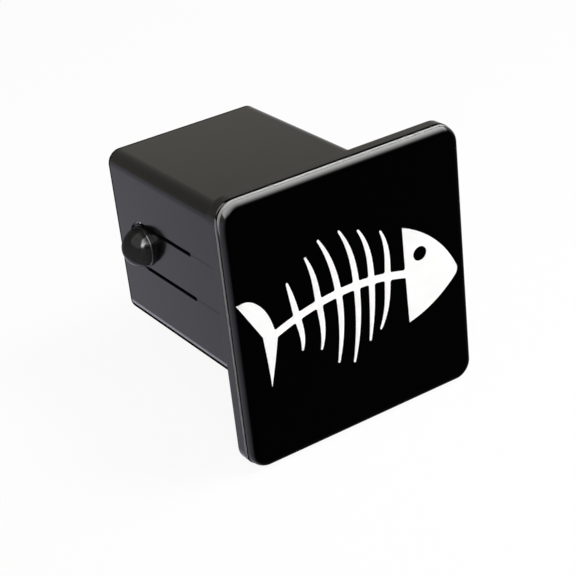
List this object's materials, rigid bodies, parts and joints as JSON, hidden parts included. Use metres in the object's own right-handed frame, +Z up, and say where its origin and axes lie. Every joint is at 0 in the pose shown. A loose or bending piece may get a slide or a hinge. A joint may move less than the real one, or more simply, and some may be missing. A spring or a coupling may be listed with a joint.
{
  "type": "hitch receiver cover",
  "caption": "Square plug for a tow hitch receiver, with a stop flange, spring latch knobs in its side walls and a glossy square face plate printed with a fish skeleton.",
  "frame": {"origin": "centre of the flange's back face, on the square tube's axis, where the cover stops against the receiver's mouth", "axes": "+Y along the tube to its open rear end, +Z up, the face plate looks along -Y"},
  "size_m": [0.073, 0.0819, 0.075],
  "materials": {
    "body_plastic": "injection moulded black plastic with a fine satin grain",
    "adhesive": "thin black double-sided adhesive sheet",
    "panel_gloss": "polished black plastic",
    "print_white": "opaque white print"
  },
  "bodies": {
    "root": {"plug_body": "body_plastic", "face_adhesive": "adhesive", "face_panel": "panel_gloss", "fish_print": "print_white"}
  },
  "joints": []
}
